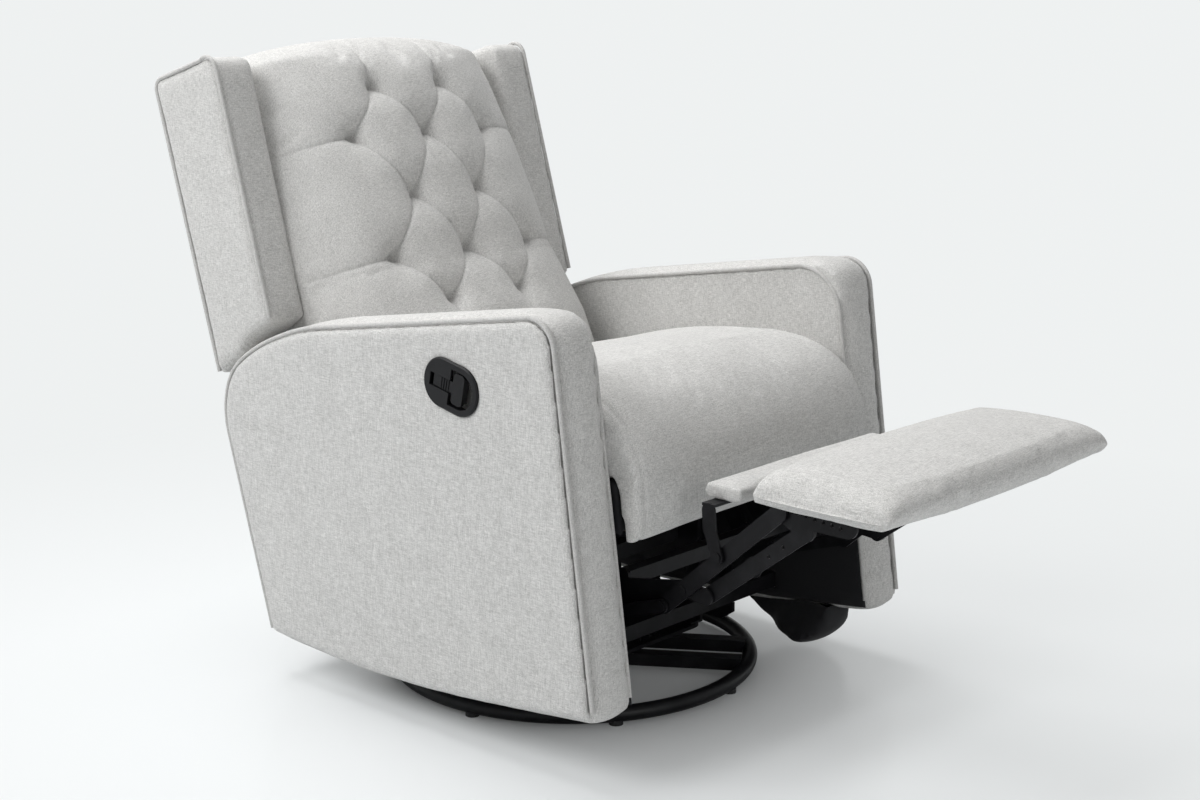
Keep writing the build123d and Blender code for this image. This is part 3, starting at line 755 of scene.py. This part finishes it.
def fill_band(point, normal):
    """Brings the band of the arm out to its welts, crowned, and keeps the arm's faces flat."""
    middle = (abs(point.x) - BAND_MIDDLE) / 0.040
    crown = 0.0028 + 0.0060 * max(0.0, 1 - middle * middle)
    facing = 1 - ease(abs(normal.x), 0.3, 0.9)
    move = point + crown * facing * Vector((0, normal.y, normal.z))
    across = max(BAND_INNER, min(BAND_OUTER, abs(move.x)))
    return Vector((math.copysign(across, move.x), *fuller(move.y, move.z)))


def fill_panel(point, normal):
    """Brings the rim of the outer panel up to its welt."""
    facing = 1 - ease(abs(normal.x), 0.3, 0.9)
    move = point + 0.0030 * facing * Vector((0, normal.y, normal.z))
    return Vector((move.x, *fuller(move.y, move.z)))


for side, sign in SIDES:
    pad = copy_of(f"arm_pad_{side}", f"arm_pad_{side}_cover")
    remesh(pad, 0.006)
    puff(pad, 0.004, pressure=2.0, frames=8)
    shape(pad, LEVEL, fill_band)
    finish_piece(pad, "chassis", "linen", [f"arm_pad_{side}"])
    panel = copy_of(f"side_panel_{side}", f"side_panel_{side}_cover")
    remesh(panel, 0.006)
    shape(panel, LEVEL, fill_panel)
    finish_piece(panel, "chassis", "linen_side", [f"side_panel_{side}"])
    edges = ((INNER_WELT_X, arm_run(0.002, 0.078)), (OUTER_WELT_X, arm_run(0.0, 0.045)))
    runs = [[(sign * x, y, z) for y, z in run] for x, run in edges]
    welt = tube(f"arm_welt_{side}", runs, ARM_WELT_RADIUS, LEVEL)
    finish_piece(welt, "chassis", "linen_piping", [f"arm_piping_{side}"])

# %% [markdown]
# ## Seat
# The seat is a crowned cushion that rolls over its front edge and runs down as an apron. Foam
# fills the cover well, so it swells more in the middle than at the sides, which the arms hold in.
# The air could be let out at the sides, but a plain limit on its width does the same. A shallow
# groove marks the seam between the top and the side boxing.

# %% Seat cushion
SEAT_HALF = 0.2845
SEAM_X = 0.266


def boxed(point, normal):
    """Keeps the cushion between the arms and sinks the seam of its side boxing."""
    groove = 0.0024 * math.exp(-((abs(point.x) - SEAM_X) / 0.0036) ** 2)
    point = point - normal * groove * (1 - ease(abs(normal.x), 0.5, 0.95))
    return Vector((max(-SEAT_HALF, min(SEAT_HALF, point.x)), point.y, point.z))


seat_cover = copy_of("seat_cushion", "seat_cushion_cover")
remesh(seat_cover, 0.006)
puff(seat_cover, 0.010, pressure=3.0, frames=14)
subdivide(seat_cover)
shape(seat_cover, LEVEL, boxed)
finish_piece(seat_cover, "seat", "linen", ["seat_cushion"])

# %% [markdown]
# ## Footrest
# The footrest is a board with a thin pad, and a narrow flipper pad fills the gap behind it. The
# cover is pulled over the ends of the board and stapled under it. A bevel would be too even for
# that, so the top is rolled down towards both ends by a quarter of an ellipse.

# %% Footrest pads
ROLL_START, ROLL_LENGTH = 0.222, 0.058
ROLL_DROP = 0.020


def rolled(point, normal):
    """Rolls the top down to both ends, and takes the cover round under the edge of the board."""
    end = min(1.0, max(0.0, abs(point.x) - ROLL_START) / ROLL_LENGTH)
    roll = ROLL_DROP * (1 - math.sqrt(1 - end * end)) * ease(point.z, 0.444, 0.472)
    under = 0.003 * ease(-normal.z, 0.3, 0.9)
    return point - Vector((0, 0, roll + under))


foot_cover = copy_of("footrest_cushion", "footrest_cushion_cover")
remesh(foot_cover, 0.005, passes=4)
puff(foot_cover, 0.006, pressure=3.0, frames=12)
subdivide(foot_cover)
shape(foot_cover, Matrix(), rolled)
finish_piece(foot_cover, "footrest", "linen", ["footrest_cushion"])
flipper_cover = copy_of("flipper_pad", "flipper_pad_cover")
remesh(flipper_cover, 0.004, passes=4)
puff(flipper_cover, 0.003, pressure=3.0, frames=10)
finish_piece(flipper_cover, "flipper", "linen", ["flipper_pad"])

# %% [markdown]
# ## Footrest board
# Only a thin dark line of the board shows under the pad. The swelled cover curls in over the
# board's edge, so a copy that is drawn in from the sides and the front stands for the board.

# %% Footrest board
BOARD_WIDTH, BOARD_DEPTH = 0.90, 0.82

board = copy_of("footrest_board", "footrest_board_cover")
rear_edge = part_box("footrest_board")[1][1]
for vert in board.data.vertices:
    x, y, z = vert.co
    vert.co = (x * BOARD_WIDTH, rear_edge + (y - rear_edge) * BOARD_DEPTH, z)
finish_piece(board, "footrest", "black_cloth", ["footrest_board"])

# %% [markdown]
# ## Rear panel
# Below the back a plain padded panel closes the body. Air pressure would make it bulge, and it
# should stay flat, so a remeshed copy of its solid with softened edges is enough.

# %% Rear panel
rear_cover = copy_of("rear_panel", "rear_panel_cover")
remesh(rear_cover, 0.004)
finish_piece(rear_cover, "chassis", "linen_side", ["rear_panel"])

# %% [markdown]
# ## Arm linings
# Low on the inside of each arm a thin black cloth is stapled tight over the frame, with a slot for
# each cross tube. Cutting it from a plain outline keeps its flat size known: the outline is
# sliced into small fields, the fields over the tubes are taken out, and the rest ripples a little.


# %% Cloth tool
def finish_cloth(piece, body, hides, thick=0.0009):
    """Gives a black cloth its thickness, and says what it stands for."""
    modifier = piece.modifiers.new("thickness", "SOLIDIFY")
    modifier.thickness = thick
    modifier.offset = 0.0
    finish_piece(piece, body, "black_cloth", hides)
    print(piece.name, "area", round(sum(face.area for face in piece.data.polygons), 4))


def slice_at(bm, spot, axis, **options):
    """Cuts a whole mesh with a plane."""
    bmesh.ops.bisect_plane(bm, geom=bm.verts[:] + bm.edges[:] + bm.faces[:], plane_co=spot,
                           plane_no=axis, **options)


print("tools: finish_cloth, slice_at")

# %% Arm linings
LINING = [(-0.394, 0.050), (-0.394, 0.268), (0.288, 0.268), (0.302, 0.120), (0.070, 0.074),
          (-0.206, 0.054)]
LINING_X = 0.2871
TUBES = (-0.185, 0.200)
SLOT_HALF = 0.0135
SLOT_LOW, SLOT_HIGH = 0.099, 0.126

for side, sign in SIDES:
    bm = bmesh.new()
    bm.faces.new([bm.verts.new((sign * LINING_X, y, z)) for y, z in LINING])
    bm.transform(LEVEL)
    cuts = [(0, k * 0.03, 0) for k in range(-14, 11)]
    cuts += [(0, t + d, 0) for t in TUBES for d in (-SLOT_HALF, SLOT_HALF)]
    ups = [(0, 0, SLOT_LOW + k * 0.027) for k in range(0, 9)]
    for spots, axis in ((cuts, (0, 1, 0)), (ups, (0, 0, 1))):
        for spot in spots:
            slice_at(bm, spot, axis, dist=0.00001)
    holes = []
    for face in bm.faces:
        centre = face.calc_center_median()
        if any(abs(centre.y - t) < SLOT_HALF for t in TUBES) and SLOT_LOW < centre.z < SLOT_HIGH:
            holes.append(face)
    bmesh.ops.delete(bm, geom=holes, context="FACES")
    for vert in bm.verts:
        ripple = math.sin(vert.co.y * 31 + 9 * vert.co.z) * math.sin(vert.co.z * 40)
        vert.co.x -= sign * 0.0010 * (1 + ripple)
    lining = piece_from(bm, f"arm_lining_{side}")
    finish_cloth(lining, "chassis", ["arm_linings"])

# %% [markdown]
# ## Seat deck
# Under the cushion a black cloth lies over the springs and is folded down over the seat frame. A
# flat grid of its cut size is folded at the frame's edges, without its two front corners, and sags
# a little between the springs. Folding a grid keeps its area true, where a drape would stretch it.

# %% Seat deck
DECK_HALF, DECK_FRONT, DECK_TOP = 0.277, -0.3975, 0.3715

bm = bmesh.new()
bmesh.ops.create_grid(bm, x_segments=70, y_segments=62, size=1.0)
for vert in bm.verts:
    vert.co = (0.352 * vert.co.x, -0.1600 + 0.310 * vert.co.y, 0)
corners = []
for face in bm.faces:
    centre = face.calc_center_median()
    if abs(centre.x) > DECK_HALF and centre.y < DECK_FRONT:
        corners.append(face)
bmesh.ops.delete(bm, geom=corners, context="FACES")
for vert in bm.verts:
    x, y, z = vert.co
    side_drop = max(0.0, abs(x) - DECK_HALF)
    front_drop = max(0.0, DECK_FRONT - y)
    sag = 0.005 * (1 - ease(abs(x), 0.15, 0.24)) * ease(y, -0.37, -0.26) * (1 - ease(y, 0.02, 0.13))
    sag *= 1 + 0.3 * math.cos(x * 2 * math.pi / 0.095)
    drop = side_drop + front_drop + sag
    vert.co = (max(-DECK_HALF, min(DECK_HALF, x)), max(DECK_FRONT, y), DECK_TOP - drop)
deck = piece_from(bm, "seat_deck_cloth", LEVEL)
finish_cloth(deck, "seat", ["seat_deck"])

# %% [markdown]
# ## Loose cloth under the far arm
# The dust cloth has come loose at the far arm and hangs as a dark pouch. Its solid already has the
# pouch's form, so its skin is taken, cut open where it is held, and given a few hanging folds.

# %% Loose cloth
HEM = 0.092

loose = copy_of("dust_cover", "dust_cover_cloth")
remesh(loose, 0.007, passes=3)
bm = bmesh.new()
bm.from_mesh(loose.data)
slice_at(bm, (0, -0.2, HEM), (0, 0, 1), clear_outer=True)
for vert in bm.verts:
    x, y, z = vert.co
    low = 1 - ease(z, 0.04, 0.09)
    vert.co.x += 0.0022 * low * math.sin(y * 105 + z * 40)
bm.to_mesh(loose.data)
bm.free()
finish_cloth(loose, "chassis", ["dust_cover"])

# %% [markdown]
# ## Studio floor
# The floor should catch the chair's shadow and then vanish into the background. A curved backdrop
# would show its bend from behind, so a large disc glows in the background's colour more and more
# with distance, for the camera only. The glow sets in early, so near the chair it also lifts the
# floor's shadow as painted light.

# %% Floor
BACKDROP = (0.86, 0.88, 0.88, 1)

bm = bmesh.new()
bmesh.ops.create_circle(bm, cap_ends=True, segments=96, radius=9.0)
floor = piece_from(bm, "studio_floor")
floor_material, tree, shader = new_material("studio_floor", (0.82, 0.84, 0.85), 0.24,
                                            Specular_IOR_Level=0.4)
where = add(tree, "TexCoord").outputs["Object"]
distance = add(tree, "VectorMath", {0: where}, operation="LENGTH")
fade = add(tree, "MapRange", {"Value": distance.outputs["Value"]})
fade.inputs["From Min"].default_value = 0.30
fade.inputs["From Max"].default_value = 1.9
fade.inputs["To Min"].default_value = 0.004
# The square root lets the glow set in close to the chair, where it lifts the floor's shadow. This
# is painted light, for the camera only.
shadow_lifting_fade = add(tree, "Math", {0: fade.outputs[0]}, operation="SQRT")
ray = add(tree, "LightPath")
seen = combine(tree, "MULTIPLY", shadow_lifting_fade.outputs[0], ray.outputs["Is Camera Ray"])
backdrop_glow = add(tree, "Emission", Color=BACKDROP, Strength=1.0)
faded = add(tree, "MixShader", {0: seen, 1: shader.outputs[0], 2: backdrop_glow.outputs[0]})
tree.links.new(faded.outputs[0], tree.nodes["Material Output"].inputs["Surface"])
floor.data.materials.append(floor_material)
print("studio floor ready")

# %% [markdown]
# ## Lamps and world
# Small lamps would cast hard shadows. A large soft lamp from the left, a wide one overhead and a
# weak fill from the front give the light of a photographer's tent. The world is an even grey, so no
# side is ever black, and a plain pale backdrop for the camera and for reflections.


# %% Lamps and world
def lamp(name, place, target, size, power):
    """A soft square lamp that faces a point."""
    data = bpy.data.lights.new(name, "AREA")
    data.energy = power
    data.size = size
    holder = bpy.data.objects.new(name, data)
    holder.location = place
    holder.rotation_euler = (Vector(target) - Vector(place)).to_track_quat("-Z", "Y").to_euler()
    scene.collection.objects.link(holder)
    return holder


lamp("key", (-3.0, 1.2, 3.3), (0, 0, 0.5), 2.2, 108)
lamp("top", (0.2, 1.6, 4.2), (0, -0.1, 0.4), 3.0, 146)
lamp("fill", (-1.0, -4.5, 1.6), (0, 0, 0.5), 2.5, 38)
world = bpy.data.worlds.new("studio")
scene.world = world
world.use_nodes = True
tree = world.node_tree
ray = add(tree, "LightPath")
seen = combine(tree, "MAXIMUM", ray.outputs["Is Camera Ray"], ray.outputs["Is Glossy Ray"])
through = combine(tree, "MAXIMUM", seen, ray.outputs["Is Transmission Ray"])
pale = add(tree, "Background", Color=BACKDROP, Strength=1.0)
plain = add(tree, "Background", Color=(1, 1, 1, 1), Strength=0.20)
both = add(tree, "MixShader", {0: through, 1: plain.outputs[0], 2: pale.outputs[0]})
tree.links.new(both.outputs[0], tree.nodes["World Output"].inputs["Surface"])
print("three lamps and a plain world")
